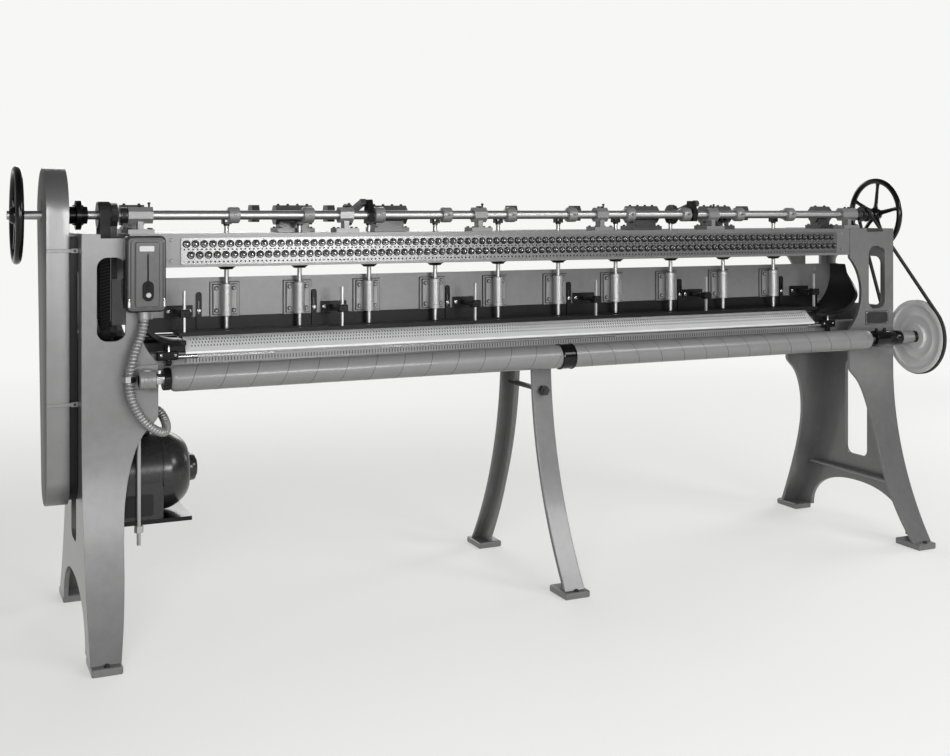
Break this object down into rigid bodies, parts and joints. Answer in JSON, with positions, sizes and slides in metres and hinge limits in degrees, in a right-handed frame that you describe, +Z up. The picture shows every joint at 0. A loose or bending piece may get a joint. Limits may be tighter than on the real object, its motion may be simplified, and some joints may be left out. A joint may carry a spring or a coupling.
{
  "type": "tufting machine",
  "caption": "Wide single-needle-bar tufting machine on cast end frames, with thread tension board, push rods, needle plate, cloth roll, motor and belt drives.",
  "frame": {"origin": "floor level under the middle of the machine, midway between the ends of the main shaft and between the front and rear feet", "axes": "+X along the main shaft from the motor end to the sheave end, +Y from the operator's side to the rear, +Z up"},
  "size_m": [3.272, 0.8, 1.359],
  "materials": {
    "enamel": "satin",
    "black_gloss": "gloss",
    "polished_steel": "polished",
    "dark_steel": "satin",
    "needle_steel": "satin",
    "guard_paint": "satin",
    "black_iron": "satin",
    "roll_cover": "matt",
    "belt_rubber": "matt",
    "cover_paint": "gloss",
    "conduit_steel": "satin",
    "button_plastic": "gloss",
    "sheave_iron": "satin"
  },
  "bodies": {
    "machine": {"left_end_frame": "enamel", "right_end_frame": "enamel", "middle_leg_front": "enamel", "middle_leg_rear": "enamel", "leg_tie_rod": "dark_steel", "head_beam": "enamel", "tension_plate": "dark_steel", "tension_discs": "polished_steel", "guide_rail": "enamel", "rail_strip": "black_iron", "push_rod_guides": "enamel", "slotted_bars": "dark_steel", "presser_brackets": "black_iron", "bed_trough": "enamel", "needle_plate": "needle_steel", "lower_comb": "needle_steel", "cloth_guide_rail": "enamel", "left_bed_bracket": "black_iron", "right_bed_bracket": "black_iron", "rocker_pedestals": "enamel", "rocker_caps": "enamel", "main_shaft_housings": "enamel", "belt_guard": "guard_paint", "guard_straps": "black_iron", "motor": "black_gloss", "motor_base": "black_gloss", "hanger_rod": "dark_steel", "switch_box": "black_gloss", "switch_cover": "cover_paint", "button_station": "black_gloss", "conduit": "conduit_steel", "conduit_clip": "polished_steel", "roll_bearings": "black_iron", "drive_belts": "belt_rubber", "looper_bearings": "enamel"},
    "main_shaft_body": {"main_shaft": "polished_steel", "handwheels": "black_gloss", "shaft_pulleys": "dark_steel", "flange_coupling": "black_iron", "eccentrics": "dark_steel", "counterweights": "black_iron"},
    "connecting_rods": {"needle_connecting_rods": "black_iron", "looper_connecting_rod": "black_iron"},
    "rocker": {"rocker_shaft": "polished_steel", "rocker_arms": "black_iron", "drive_arms": "black_iron"},
    "needle_carriage": {"push_rods": "polished_steel", "needle_bar": "dark_steel"},
    "presser": {"presser_rods": "polished_steel", "presser_bar": "dark_steel"},
    "motor_rotor": {"motor_pulley": "dark_steel"},
    "roll": {"cloth_roll": "roll_cover", "roll_journals": "polished_steel", "roll_rings": "black_gloss", "roll_sheave": "sheave_iron"},
    "counter_pulley": {"lower_belt_pulley": "dark_steel"},
    "looper": {"looper_shaft": "dark_steel", "looper_bar": "dark_steel"},
    "start_button_body": {"start_button": "button_plastic"},
    "stop_button_body": {"stop_button": "button_plastic"}
  },
  "joints": [
    {"name": "main_shaft_spin", "type": "hinge", "parent": "machine", "child": "main_shaft_body", "pos_m": [0.022, 0.03, 1.216], "axis": [1, 0, 0], "continuous": true},
    {"name": "motor_spin", "type": "hinge", "parent": "machine", "child": "motor_rotor", "pos_m": [-1.478, -0.04, 0.46], "axis": [1, 0, 0], "continuous": true},
    {"name": "roll_spin", "type": "hinge", "parent": "machine", "child": "roll", "pos_m": [0.022, -0.255, 0.757], "axis": [1, 0, 0], "continuous": true},
    {"name": "counter_pulley_spin", "type": "hinge", "parent": "machine", "child": "counter_pulley", "pos_m": [-1.378, 0.03, 0.872], "axis": [1, 0, 0], "continuous": true},
    {"name": "connecting_rods_turn", "type": "hinge", "parent": "main_shaft_body", "child": "connecting_rods", "pos_m": [0.022, 0.037, 1.216], "axis": [1, 0, 0], "continuous": true},
    {"name": "rocker_swing", "type": "hinge", "parent": "machine", "child": "rocker", "pos_m": [0.022, -0.12, 1.216], "axis": [1, 0, 0], "range_deg": [0, 20]},
    {"name": "needle_stroke", "type": "slide", "parent": "machine", "child": "needle_carriage", "axis": [0, 0, 1], "range_m": [0, 0.033]},
    {"name": "presser_lift", "type": "slide", "parent": "machine", "child": "presser", "axis": [0, 0, 1], "range_m": [0, 0.015]},
    {"name": "looper_swing", "type": "hinge", "parent": "machine", "child": "looper", "pos_m": [0.022, 0.082, 0.835], "axis": [1, 0, 0], "range_deg": [-8, 8]},
    {"name": "start_button_press", "type": "slide", "parent": "machine", "child": "start_button_body", "axis": [0, 1, 0], "range_m": [0, 0.003], "stiffness_N_per_m": 400, "springref_m": -0.001},
    {"name": "stop_button_press", "type": "slide", "parent": "machine", "child": "stop_button_body", "axis": [0, 1, 0], "range_m": [0, 0.003], "stiffness_N_per_m": 400, "springref_m": -0.001}
  ],
  "couplings": [
    {"joint": "motor_spin", "follows": "main_shaft_spin", "ratio": 2.5217},
    {"joint": "roll_spin", "follows": "main_shaft_spin", "ratio": 0.21898},
    {"joint": "counter_pulley_spin", "follows": "main_shaft_spin", "ratio": 1},
    {"joint": "connecting_rods_turn", "follows": "main_shaft_spin", "ratio": -1},
    {"joint": "needle_stroke", "follows": "rocker_swing", "m_per_rad": 0.093}
  ]
}
